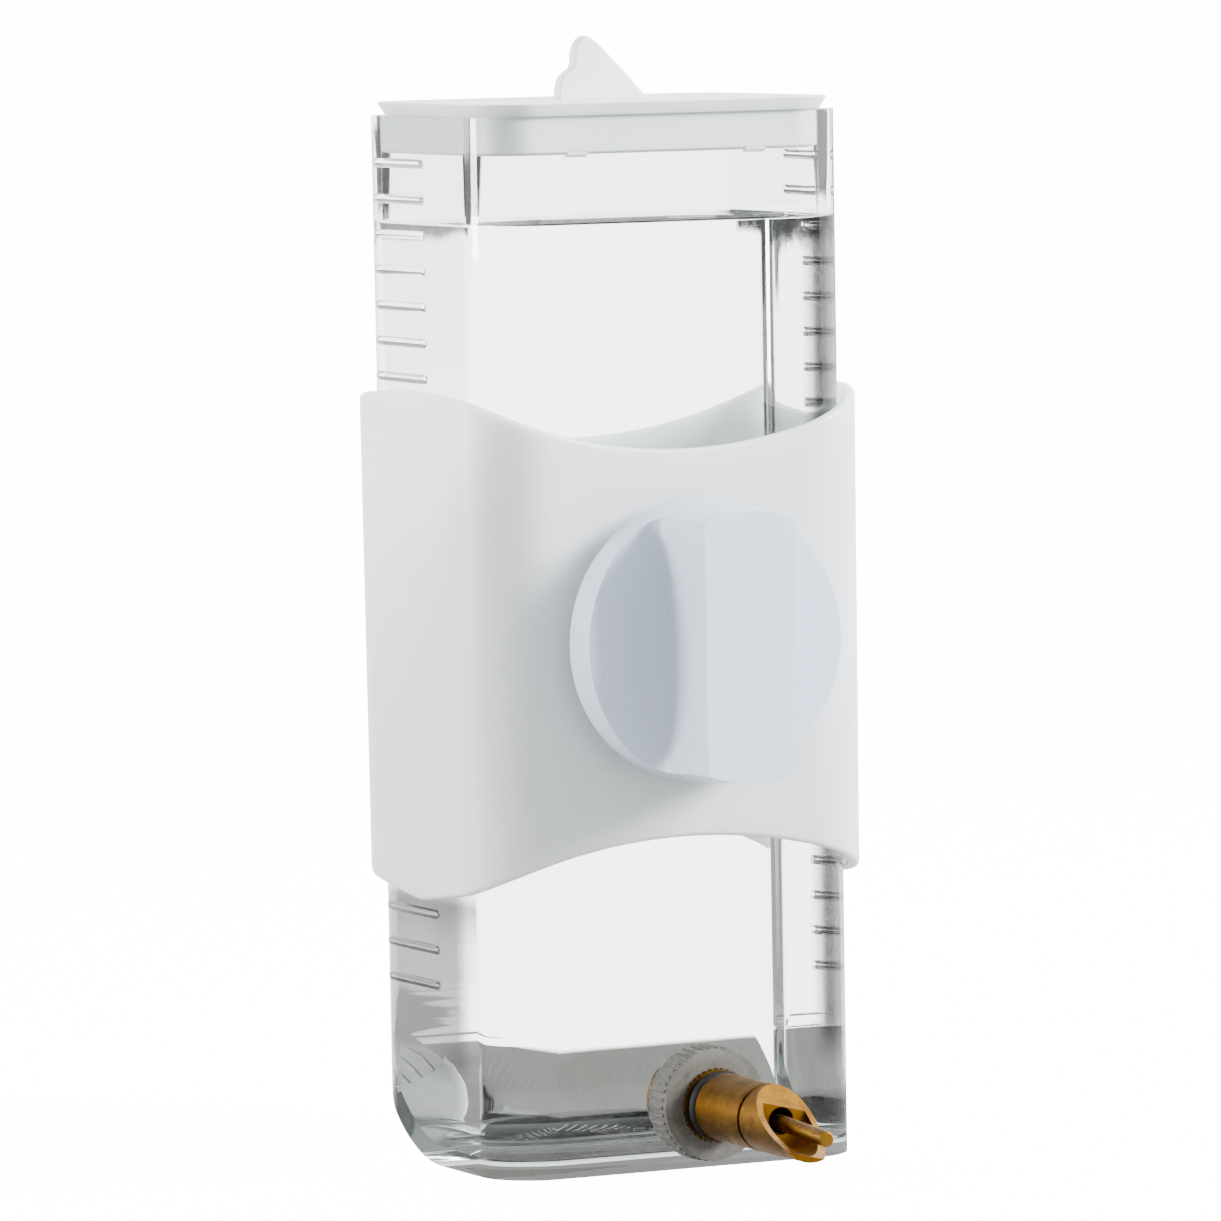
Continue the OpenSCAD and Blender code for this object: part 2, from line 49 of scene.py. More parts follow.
MM = 0.001
TOUCH = 0.01  # slack in millimetres when a point is compared with a plane
SINK = 1.0  # how far a piece that is joined or cut runs into the other, in millimetres
PHOTO_SIDE = 1221  # pixels
SENSOR = 36.0  # width of the camera's sensor in millimetres
WAVE_STEP = 20  # phase of Blender's wave texture per unit of length
Tree = bpy.types.NodeTree
Socket = bpy.types.NodeSocket
Piece = bpy.types.Object
Test = Callable[[Vector, Vector], bool]  # of an edge's two ends, or of a face's centre and normal
Point = tuple[float, float, float]
Zone = tuple[tuple[str, float, float], ...]  # axis, where it starts and where it is full, in millimetres


# Colours and shader nodes


def linear(hex_colour: str) -> tuple[float, float, float, float]:
    """Turn an sRGB hex colour into the linear RGBA that shader sockets take.

    Args:
        hex_colour: Six hex digits, such as "e8ecef".

    Returns:
        Linear red, green, blue and an alpha of 1.
    """
    parts = [int(hex_colour[i:i + 2], 16) / 255 for i in (0, 2, 4)]
    red, green, blue = (c / 12.92 if c <= 0.04045 else ((c + 0.055) / 1.055) ** 2.4 for c in parts)
    return red, green, blue, 1.0


def add_node(tree: Tree, kind: str, inputs: dict | None = None, **settings: object) -> bpy.types.Node:
    """Add one shader node with its settings, values and links.

    Args:
        tree: Node tree that takes the node.
        kind: Blender's name for the node type.
        inputs: Socket name or number to a value, or to the output socket that feeds it.
        settings: Attributes of the node itself.

    Returns:
        The new node.
    """
    node = tree.nodes.new(kind)
    for name, value in settings.items():
        setattr(node, name, value)
    for name, value in (inputs or {}).items():
        if isinstance(value, Socket):
            tree.links.new(value, node.inputs[name])
        else:
            node.inputs[name].default_value = value
    return node


def ramp(tree: Tree, factor: Socket, stops: Iterable[tuple[float, str]]) -> bpy.types.Node:
    """Add a colour ramp with its own stops.

    Args:
        tree: Node tree that takes the ramp.
        factor: Socket that drives it.
        stops: Position and hex colour of each stop, in order.

    Returns:
        The ramp node.
    """
    node = add_node(tree, "ShaderNodeValToRGB", {"Fac": factor})
    stops = list(stops)
    while len(node.color_ramp.elements) < len(stops):
        node.color_ramp.elements.new(0.5)
    for element, (place, colour) in zip(node.color_ramp.elements, stops):
        element.position = place
        element.color = linear(colour)
    return node


def noise(tree: Tree, place: Socket, grain: float, detail: float, roughness: float = 0.5) -> Socket:
    """Add a noise texture.

    Args:
        tree: Node tree that takes the texture.
        place: Object coordinates.
        grain: Size of its blots in millimetres.
        detail: Number of finer levels.
        roughness: Strength of the finer levels.

    Returns:
        The socket with the noise's value.
    """
    node = add_node(tree, "ShaderNodeTexNoise", {
        "Vector": place, "Scale": 1 / MM / grain, "Detail": detail, "Roughness": roughness})
    return node.outputs["Fac"]


def relief(tree: Tree, height: Socket, strength: float, depth: float, under: Socket | None = None) -> Socket:
    """Add a bump.

    Args:
        tree: Node tree that takes the bump.
        height: Socket with the height.
        strength: Strength of the bump.
        depth: Height of the bump in metres.
        under: Normal of a coarser bump that this one lies on.

    Returns:
        The socket with the normal.
    """
    inputs = {"Height": height, "Strength": strength, "Distance": depth}
    if under is not None:
        inputs["Normal"] = under
    return add_node(tree, "ShaderNodeBump", inputs).outputs["Normal"]


def spread(tree: Tree, value: Socket, start: float, end: float, low: float | Socket = 0.0,
           high: float | Socket = 1.0) -> Socket:
    """Map a value from one range to another and hold it at both ends.

    Args:
        tree: Node tree that takes the node.
        value: Socket to map.
        start: Value that gives the low end.
        end: Value that gives the high end.
        low: Low end of the result.
        high: High end of the result.

    Returns:
        The socket with the result.
    """
    node = add_node(tree, "ShaderNodeMapRange", {
        "Value": value, "From Min": start, "From Max": end, "To Min": low, "To Max": high})
    return node.outputs["Result"]


def reckon(tree: Tree, operation: str, first: float | Socket, second: float | Socket = 0.0) -> Socket:
    """Add one step of arithmetic and return its socket."""
    return add_node(tree, "ShaderNodeMath", {0: first, 1: second}, operation=operation).outputs["Value"]


def blend(tree: Tree, factor: Socket, first: Socket, second: Socket) -> Socket:
    """Mix two shaders: the first at a factor of 0, the second at 1."""
    return add_node(tree, "ShaderNodeMixShader", {"Fac": factor, 1: first, 2: second}).outputs["Shader"]


def principled(tree: Tree, inputs: dict[str, object]) -> Socket:
    """Add a principled shader and return its socket."""
    return add_node(tree, "ShaderNodeBsdfPrincipled", inputs).outputs["BSDF"]


class Finish:
    """A surface finish that builds one Blender material."""

    name: str

    def material(self) -> bpy.types.Material:
        """Return the material, building it on first use."""
        found = bpy.data.materials.get(self.name)
        if found is not None:
            return found
        made = bpy.data.materials.new(self.name)
        made.use_nodes = True
        tree = made.node_tree
        tree.nodes.clear()
        coordinates = add_node(tree, "ShaderNodeTexCoord")
        shader = self.shade(tree, coordinates.outputs["Object"])
        add_node(tree, "ShaderNodeOutputMaterial", {"Surface": shader})
        return made

    def shade(self, tree: Tree, place: Socket) -> Socket:
        """Build the shader and return its output socket."""
        raise NotImplementedError


@dataclass(frozen=True)
class MouldedPlastic(Finish):
    """Injection-moulded white plastic: polished mould, so a soft gloss with faint flow waves and fine scuffs."""

    name: str
    colour: str
    shade_colour: str
    roughness: float = 0.38
    subsurface: float = 0.12
    cloud_mm: float = 32.0
    scuff_mm: float = 1.6
    wave_mm: float = 14.0
    ior: float = 1.49

    def shade(self, tree: Tree, place: Socket) -> Socket:
        """Mix two close whites by a broad noise, with waves in the bump and fine scuffs in the roughness."""
        clouds = noise(tree, place, self.cloud_mm, detail=2.0)
        tint = ramp(tree, clouds, [(0.35, self.shade_colour), (0.62, self.colour)])
        scuffs = noise(tree, place, self.scuff_mm, detail=5.0, roughness=0.7)
        rough = spread(tree, scuffs, 0.3, 0.75, self.roughness - 0.05, self.roughness + 0.08)
        waves = relief(tree, noise(tree, place, self.wave_mm, detail=1.0), strength=0.05, depth=0.0006)
        grain = relief(tree, scuffs, strength=0.03, depth=0.0001, under=waves)
        return principled(tree, {
            "Base Color": tint.outputs["Color"], "Roughness": rough, "IOR": self.ior,
            "Subsurface Weight": self.subsurface, "Subsurface Scale": 0.005,
            "Subsurface Radius": (1.0, 0.95, 0.9), "Normal": grain})


@dataclass(frozen=True)
class ClearPlastic(Finish):
    """Clear moulded styrene: glassy, very faintly grey, with the shallow waves that a mould leaves.

    Two zones carry painted shade, a grey tint in the wall's colour: the front right corner and the lower left side,
    dark strips in the photograph.
    Light that is caught between the walls leaves, a little dimmed, after a few reflections.
    """

    name: str
    colour: str = "f4f6f6"
    ior: float = 1.53
    roughness: float = 0.012
    scratch_mm: float = 2.5
    wave_mm: float = 18.0
    wave: float = 0.02
    # Painted shade: inside the zones below, the wall's colour turns to this grey.
    painted_shade_colour: str = "4c4c4c"
    painted_shade_zones: tuple[Zone, ...] = (
        (("X", 20.4, 22.8), ("Y", -5.0, -8.5), ("Z", 13.0, 19.0), ("Z", 135.5, 133.5)),
        (("X", -25.0, -27.0), ("Y", -1.0, 3.0), ("Z", 12.0, 17.0), ("Z", 42.0, 38.0)))
    caught_after: float = 2.5
    caught_colour: str = "b4b8b8"
    shadow_colour: str = "f6f8f8"

    def painted_shade_mask(self, tree: Tree, place: Socket) -> Socket:
        """Return a socket that is 1 inside the zones of painted shade and 0 outside."""
        axes = add_node(tree, "ShaderNodeSeparateXYZ", {"Vector": place}).outputs
        painted_shade_mask = 0.0
        for zone in self.painted_shade_zones:
            inside = 1.0
            for axis, start, end in zone:
                inside = spread(tree, axes[axis], start * MM, end * MM, high=inside)
            painted_shade_mask = reckon(tree, "MAXIMUM", painted_shade_mask, inside)
        return painted_shade_mask

    def shade(self, tree: Tree, place: Socket) -> Socket:
        """Transmit the light, bent by the material's IOR, and let shadow rays through as through a clear wall."""
        # Painted shade: the wall's colour is grey inside the zones.
        tint = ramp(tree, self.painted_shade_mask(tree, place), [(0.0, self.colour), (1.0, self.painted_shade_colour)])
        waves = relief(tree, noise(tree, place, self.wave_mm, detail=1.5), strength=self.wave, depth=0.001)
        scratches = noise(tree, place, self.scratch_mm, detail=4.0)
        rough = spread(tree, scratches, 0.5, 0.8, self.roughness, self.roughness + 0.03)
        glass = principled(tree, {
            "Base Color": tint.outputs["Color"], "Roughness": rough, "IOR": self.ior,
            "Transmission Weight": 1.0, "Normal": waves})
        path = add_node(tree, "ShaderNodeLightPath")
        caught = reckon(tree, "GREATER_THAN", path.outputs["Glossy Depth"], self.caught_after)
        through = reckon(tree, "MAXIMUM", path.outputs["Is Shadow Ray"], caught)
        veil = ramp(tree, caught, [(0.0, self.shadow_colour), (1.0, self.caught_colour)])
        clear = add_node(tree, "ShaderNodeBsdfTransparent", {"Color": veil.outputs["Color"]})
        return blend(tree, through, glass, clear.outputs["BSDF"])


@dataclass(frozen=True)
class CloudyPlastic(Finish):
    """Moulded nylon: milky and a little yellowed, so what lies behind it only glimmers through."""

    name: str
    colour: str
    shade_colour: str
    roughness: float = 0.3
    cloud_mm: float = 1.4
    ior: float = 1.52

    def shade(self, tree: Tree, place: Socket) -> Socket:
        """Half diffuse, half clear, clouded by a noise in colour and clearness."""
        cloud = noise(tree, place, self.cloud_mm, detail=5.0, roughness=0.65)
        tint = ramp(tree, cloud, [(0.3, self.shade_colour), (0.7, self.colour)])
        clear = spread(tree, cloud, 0.35, 0.7, 0.45, 0.85)
        bump = relief(tree, cloud, strength=0.2, depth=0.0002)
        return principled(tree, {
            "Base Color": tint.outputs["Color"], "Roughness": self.roughness, "IOR": self.ior,
            "Transmission Weight": clear, "Normal": bump})


@dataclass(frozen=True)
class TurnedBrass(Finish):
    """Brass turned on a lathe: warm yellow, fine rings round the axis and a little brown tarnish."""

    name: str
    colour: str = "8e6216"
    tarnish: str = "5c3c10"
    roughness: float = 0.3
    ring_mm: float = 0.35
    patch_mm: float = 3.0

    def shade(self, tree: Tree, place: Socket) -> Socket:
        """Rings along the nozzle's axis in the bump, tarnish by noise."""
        patches = noise(tree, place, self.patch_mm, detail=5.0, roughness=0.6)
        tint = ramp(tree, patches, [(0.3, self.tarnish), (0.62, self.colour)])
        rings = add_node(tree, "ShaderNodeTexWave", {
            "Vector": place, "Scale": math.pi / WAVE_STEP / self.ring_mm / MM, "Distortion": 0.4, "Detail": 1.0},
            wave_type="BANDS", bands_direction="Y")
        bump = relief(tree, rings.outputs["Fac"], strength=0.12, depth=0.00008)
        rough = spread(tree, patches, 0.3, 0.7, self.roughness + 0.14, self.roughness)
        return principled(tree, {
            "Base Color": tint.outputs["Color"], "Metallic": 1.0, "Roughness": rough, "Normal": bump})


@dataclass(frozen=True)
class PlatedSteel(Finish):
    """Zinc-plated steel: cool grey, soft gloss with fine drawn lines."""

    name: str
    colour: str = "b9bcc0"
    dull_colour: str = "9a9da1"
    roughness: float = 0.3
    cloud_mm: float = 2.0

    def shade(self, tree: Tree, place: Socket) -> Socket:
        """Cloud the plating a little and roughen it by a fine noise."""
        cloud = noise(tree, place, self.cloud_mm, detail=4.0)
        tint = ramp(tree, cloud, [(0.3, self.dull_colour), (0.7, self.colour)])
        rough = spread(tree, cloud, 0.0, 1.0, self.roughness - 0.06, self.roughness + 0.1)
        return principled(tree, {
            "Base Color": tint.outputs["Color"], "Metallic": 1.0, "Roughness": rough})


@dataclass(frozen=True)
class Rubber(Finish):
    """Moulded rubber: matt, with a fine bloom on its surface."""

    name: str
    colour: str
    bloom: str
    roughness: float = 0.55
    grain_mm: float = 0.8
    specular: float = 0.25

    def shade(self, tree: Tree, place: Socket) -> Socket:
        """Bloom by a fine noise in colour and bump."""
        grain = noise(tree, place, self.grain_mm, detail=4.0)
        hue = ramp(tree, grain, [(0.35, self.colour), (0.8, self.bloom)])
        return principled(tree, {
            "Base Color": hue.outputs["Color"], "Roughness": self.roughness, "Specular IOR Level": self.specular,
            "Normal": relief(tree, grain, strength=0.15, depth=0.00005)})


@dataclass(frozen=True)
class WaterBody(Finish):
    """Still water against the wall: the wall's wetted faces bend the light, so this skin is clear."""

    name: str
    colour: str = "fdfefd"

    def shade(self, tree: Tree, place: Socket) -> Socket:
        """Let the light through with a trace of tint."""
        clear = add_node(tree, "ShaderNodeBsdfTransparent", {"Color": linear(self.colour)})
        return clear.outputs["BSDF"]


class Dress(Enum):
    """The finishes of the waterer."""

    # The wall and its wetted faces carry the painted shade grey in two zones; the water surface has none.
    WALL = ClearPlastic("Clear moulded styrene")
    WETTED = ClearPlastic("Clear styrene wetted by water", ior=1.53 / 1.333, colour="ffffff", wave=0.0)
    SURFACE = ClearPlastic("Water surface", ior=1.333, colour="ffffff", wave=0.0, roughness=0.0, painted_shade_colour="ffffff")
    WATER = WaterBody("Water")
    RING = CloudyPlastic("Cloudy nylon collar", "96948d", "73706a")
    SLEEVE = MouldedPlastic("White moulded polypropylene", "e6ecf2", "e0e7ed", roughness=0.33, subsurface=0.8)
    LID = MouldedPlastic("White moulded polyethylene", "eef2f2", "e9eeee", roughness=0.42)
    KNOB = MouldedPlastic("Bluish white ABS", "d3dcef", "cdd7eb", roughness=0.3, subsurface=0.05)
    BRASS = TurnedBrass("Turned brass")
    PIN_BRASS = TurnedBrass("Drawn brass pin", colour="a0752a", tarnish="6b481a", roughness=0.26)
    STEEL = PlatedSteel("Zinc plated steel")
    RED = Rubber("Red silicone rubber", "a8402c", "b4604c")
    BLACK = Rubber("Black nitrile rubber", "080808", "161616", 0.65)


# Modelling steps


def rest() -> None:
    """Leave edit mode and deselect everything."""
    if bpy.context.object is not None and bpy.context.object.mode != "OBJECT":
        bpy.ops.object.mode_set(mode="OBJECT")
    bpy.ops.object.select_all(action="DESELECT")


def choose(piece: Piece) -> None:
    """Select one object alone and make it active."""
    rest()
    piece.select_set(True)
    bpy.context.view_layer.objects.active = piece


def block(name: str, size: Point, centre: Point) -> Piece:
    """Add a cube at its size and place, in millimetres."""
    rest()
    bpy.ops.mesh.primitive_cube_add(size=1, location=centre, scale=size)
    piece = bpy.context.object
    piece.name = name
    bpy.ops.object.transform_apply()
    return piece


def rod(name: str, radius: float, length: float, centre: Point, axis: str = "Y",
        end_radius: float | None = None, sides: int = 96) -> Piece:
    """Add a round bar at its size and place.

    Args:
        name: Name of the piece.
        radius: Radius at the low end of the axis, in millimetres.
        length: Length along the axis.
        centre: Middle of the bar.
        axis: X, Y or Z.
        end_radius: Radius at the high end, where it differs.
        sides: Number of sides.

    Returns:
        The bar.
    """
    rest()
    turn = {"X": (0, math.pi / 2, 0), "Y": (-math.pi / 2, 0, 0), "Z": (0, 0, 0)}[axis]
    bpy.ops.mesh.primitive_cone_add(vertices=sides, radius1=radius, depth=length, location=centre, rotation=turn,
                                    radius2=radius if end_radius is None else end_radius)
    piece = bpy.context.object
    piece.name = name
    bpy.ops.object.transform_apply()
    return piece


def pick_edges(piece: Piece, test: Test) -> None:
    """Enter edit mode with only the edges selected whose two ends pass a test."""
    choose(piece)
    bpy.ops.object.mode_set(mode="EDIT")
    bpy.ops.mesh.select_mode(type="EDGE")
    bpy.ops.mesh.select_all(action="DESELECT")
    bpy.ops.object.mode_set(mode="OBJECT")
    points = piece.data.vertices
    for edge in piece.data.edges:
        edge.select = test(points[edge.vertices[0]].co, points[edge.vertices[1]].co)
    bpy.ops.object.mode_set(mode="EDIT")


def pick_faces(piece: Piece, test: Test) -> None:
    """Enter edit mode with only the faces selected whose centre and normal pass a test."""
    choose(piece)
    bpy.ops.object.mode_set(mode="EDIT")
    bpy.ops.mesh.select_mode(type="FACE")
    bpy.ops.mesh.select_all(action="DESELECT")
    bpy.ops.object.mode_set(mode="OBJECT")
    for face in piece.data.polygons:
        face.select = test(face.center, face.normal)
    bpy.ops.object.mode_set(mode="EDIT")


def round_edges(piece: Piece, radius: float, segments: int, test: Test) -> None:
    """Round the edges that pass a test."""
    pick_edges(piece, test)
    bpy.ops.mesh.bevel(offset=radius, segments=segments, profile=0.5, affect="EDGES", clamp_overlap=True)
    rest()


def upright(a: Vector, b: Vector) -> bool:
    """True for an edge that runs along Z."""
    return abs(a.x - b.x) < TOUCH and abs(a.y - b.y) < TOUCH


def under(height: float) -> Test:
    """Return a test for edges whose two ends lie at or below a height."""
    return lambda a, b: a.z < height + TOUCH and b.z < height + TOUCH


def over(height: float) -> Test:
    """Return a test for edges whose two ends lie at or above a height."""
    return lambda a, b: a.z > height - TOUCH and b.z > height - TOUCH


def modify(piece: Piece, kind: str, **settings: object) -> None:
    """Add a modifier, set it and apply it."""
    choose(piece)
    modifier = piece.modifiers.new(kind.title(), kind)
    for name, value in settings.items():
        setattr(modifier, name, value)
    bpy.ops.object.modifier_apply(modifier=modifier.name)


def combine(piece: Piece, tool: Piece, how: str) -> None:
    """Join, cut or intersect a piece with a tool, which is used up.

    Args:
        piece: Piece that stays.
        tool: Closed mesh that is used up.
        how: UNION, DIFFERENCE or INTERSECT.
    """
    modify(piece, "BOOLEAN", object=tool, operation=how, solver="EXACT")
    bpy.data.objects.remove(tool)


def merge(pieces: list[Piece]) -> Piece:
    """Make one object of several, each staying a closed shell."""
    choose(pieces[0])
    for piece in pieces:
        piece.select_set(True)
    bpy.context.view_layer.objects.active = pieces[0]
    bpy.ops.object.join()
    return pieces[0]


def twin(piece: Piece, name: str) -> Piece:
    """Copy a piece with a mesh of its own."""
    copy = piece.copy()
    copy.data = piece.data.copy()
    copy.name = name
    bpy.context.scene.collection.objects.link(copy)
    return copy


def settle(piece: Piece, name: str, body: str, dress: Dress, nodes: tuple[str, ...] = (),
           sharp: float = 32.0) -> None:
    """Bring a finished piece from millimetres to metres, shade it, dress it and let it ride.

    Args:
        piece: The piece, modelled in millimetres.
        name: Its name.
        body: The CAD body that it rides on.
        dress: Its finish.
        nodes: CAD nodes that it stands for.
        sharp: Angle in degrees over which an edge stays sharp.
    """
    choose(piece)
    piece.name = name
    piece.data.name = name
    piece.data.transform(Matrix.Scale(MM, 4))
    bpy.ops.object.shade_smooth_by_angle(angle=math.radians(sharp))
    modify(piece, "WEIGHTED_NORMAL", keep_sharp=True, weight=100)
    if not piece.data.materials:
        piece.data.materials.append(dress.value.material())
    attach(piece, body)
    if nodes:
        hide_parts(*nodes)
    LOG.info("%s: %d faces", name, len(piece.data.polygons))


# The bottle and its water


@dataclass
class Bottle:
    """Clear bottle with a curved back foot, graduation ribs on both sides, a nozzle spout and water inside."""

    width: float = 57.8
    depth: float = 45.0
    height: float = 149.5
    middle: float = 10.3
    corner: float = 8.4
    draft: float = 0.26
    wall: float = 2.2
    floor: float = 2.6
    foot: float = 4.6
    back: float = 23.6
    rim_edge: float = 0.9
    open_top: float = 6.0
    water: float = 134.5
    water_gap: float = 0.03
    inner_foot: float = 0.8
    rib_height: float = 1.35
    rib_out: float = 0.45
    rib_end: float = 0.95
    rib_count: int = 24
    rib_pitch: float = 5.08
    rib_drop: float = 6.7
    rib_reach: float = 15.5
    rib_lengths: tuple[float, float] = (17.0, 13.5)
    spout: Point = (10.1, 13.0, 6.3)  # height of its axis, diameter, length
    spout_bore: float = 7.7
    bore_past: tuple[float, float] = (2.0, 6.0)  # beyond the spout's end, and into the bottle
    climb: tuple[tuple[float, float], ...] = ((0.45, 0.25), (0.9, 0.14), (1.6, 0.05))  # inward, drop

    def form(self, name: str, inset: float, low: float, high: float, foot: float, back: float) -> Piece:
        """Make a round-cornered upright block with its foot rounded in front, at the sides and widely at the back."""
        width, depth = self.width - 2 * inset, self.depth - 2 * inset
        front = self.middle - depth / 2
        rear = self.middle + depth / 2
        plan = block(name, (width, depth, high - low), (0, self.middle, (high + low) / 2))
        round_edges(plan, self.corner - inset, 12, upright)
        side = block(name + ".side", (width, depth, high - low), (0, self.middle, (high + low) / 2))
        low_edge = under(low)
        round_edges(side, back, 28, lambda a, b: low_edge(a, b) and a.y > rear - TOUCH and b.y > rear - TOUCH)
        round_edges(side, foot, 6, lambda a, b: low_edge(a, b) and (
            (a.y < front + TOUCH and b.y < front + TOUCH)
            or (abs(a.x) > width / 2 - TOUCH and abs(b.x) > width / 2 - TOUCH and a.x * b.x > 0)))
        combine(plan, side, "INTERSECT")
        return plan

    def taper(self, piece: Piece) -> None:
        """Draw the walls in toward the foot, as the mould does."""
        for point in piece.data.vertices:
            inward = self.draft * (1 - point.co.z / self.height)
            point.co.x *= 1 - inward / (self.width / 2)
            point.co.y = self.middle + (point.co.y - self.middle) * (1 - inward / (self.depth / 2))

    def ribs(self) -> Piece:
        """Make the two rows of graduation ribs: half-round bars with ball ends, one modelled and copied."""
        radius = (self.rib_height ** 2 / 4 + self.rib_out ** 2) / (2 * self.rib_out)
        made = []
        for side, length in zip((-1, 1), self.rib_lengths):
            first = rod("rib", radius, length, (0, 0, 0), sides=24)
            round_edges(first, radius * self.rib_end, 5, lambda a, b: a.y * b.y > 0 and abs(a.y - b.y) < 0.001)
            for index in range(self.rib_count):
                z = self.height - self.rib_drop - index * self.rib_pitch
                face = self.width / 2 - self.draft * (1 - z / self.height)
                middle = self.middle - side * self.rib_reach + side * length / 2
                copy = twin(first, "rib")
                copy.data.transform(Matrix.Translation((side * (face + self.rib_out - radius), middle, z)))
                made.append(copy)
            bpy.data.objects.remove(first)
        return merge(made)

    def build(self) -> None:
        """Model the bottle and the water and let them ride on the tank."""
        outside = self.form("bottle", 0.0, 0.0, self.height, self.foot, self.back)
        modify(outside, "BEVEL", width=self.rim_edge, segments=3, limit_method="ANGLE",
               angle_limit=math.radians(40), use_clamp_overlap=True)
        inner_back = self.back - self.wall
        inside = self.form("cavity", self.wall, self.floor, self.height + self.open_top, self.inner_foot, inner_back)
        water = self.form("water", self.wall + self.water_gap, self.floor + self.water_gap, self.water,
                          self.inner_foot, inner_back)
        for piece in (outside, inside, water):
            self.taper(piece)
        combine(outside, inside, "DIFFERENCE")
        height, across, length = self.spout
        front = self.middle - self.depth / 2 + self.draft
        spout = rod("spout", across / 2, length + SINK, (0, front - length / 2 + SINK / 2, height))
        out, into = self.bore_past
        bore = rod("bore", self.spout_bore / 2, length + out + into, (0, front - (length + out - into) / 2, height))
        combine(outside, spout, "UNION")
        combine(outside, bore, "DIFFERENCE")
        combine(outside, self.ribs(), "UNION")
        self.wet(outside)
        settle(outside, "Bottle", "tank", Dress.WALL, ("bottle",))
        self.top(water)
        settle(water, "Water", "tank", Dress.WATER)

    def inner(self, centre: Vector, normal: Vector) -> bool:
        """True for a face of the cavity: within the walls, over the floor and turned inward or upward."""
        wide, deep = self.width / 2 - self.wall + 0.05, self.depth / 2 - self.wall + 0.05
        out = Vector((centre.x, centre.y - self.middle, 0))
        return (abs(centre.x) < wide and abs(centre.y - self.middle) < deep and centre.z > self.floor - 0.1
                and (normal.dot(out) < -0.01 or normal.z > 0.3) and centre.z < self.height - 0.1)

    def wet(self, piece: Piece) -> None:
        """Split the cavity's faces at the water line and give those below it the wetted finish."""
        pick_faces(piece, self.inner)
        bpy.ops.mesh.bisect(plane_co=(0, 0, self.water), plane_no=(0, 0, 1))
        rest()
        piece.data.materials.clear()
        piece.data.materials.append(Dress.WALL.value.material())
        piece.data.materials.append(Dress.WETTED.value.material())
        for face in piece.data.polygons:
            wetted = self.inner(face.center, face.normal) and face.center.z < self.water
            face.material_index = 1 if wetted else 0

    def top(self, piece: Piece) -> None:
        """Raise the water a little where it climbs the wall and dress its surface."""
        pick_faces(piece, lambda centre, normal: normal.z > 0.9 and centre.z > self.water - 0.1)
        bpy.context.scene.tool_settings.transform_pivot_point = "MEDIAN_POINT"
        for inward, drop in self.climb:
            shrink = (1 - 2 * inward / self.width, 1 - 2 * inward / self.depth, 1)
            bpy.ops.mesh.extrude_region_move(TRANSFORM_OT_translate={"value": (0, 0, -drop)})
            bpy.ops.transform.resize(value=shrink, center_override=(0, self.middle, self.water))
        rest()
        piece.data.materials.clear()
        piece.data.materials.append(Dress.WATER.value.material())
        piece.data.materials.append(Dress.SURFACE.value.material())
        for face in piece.data.polygons:
            face.material_index = 1 if face.normal.z > 0.5 and face.center.z > self.water - 1 else 0


# The lid


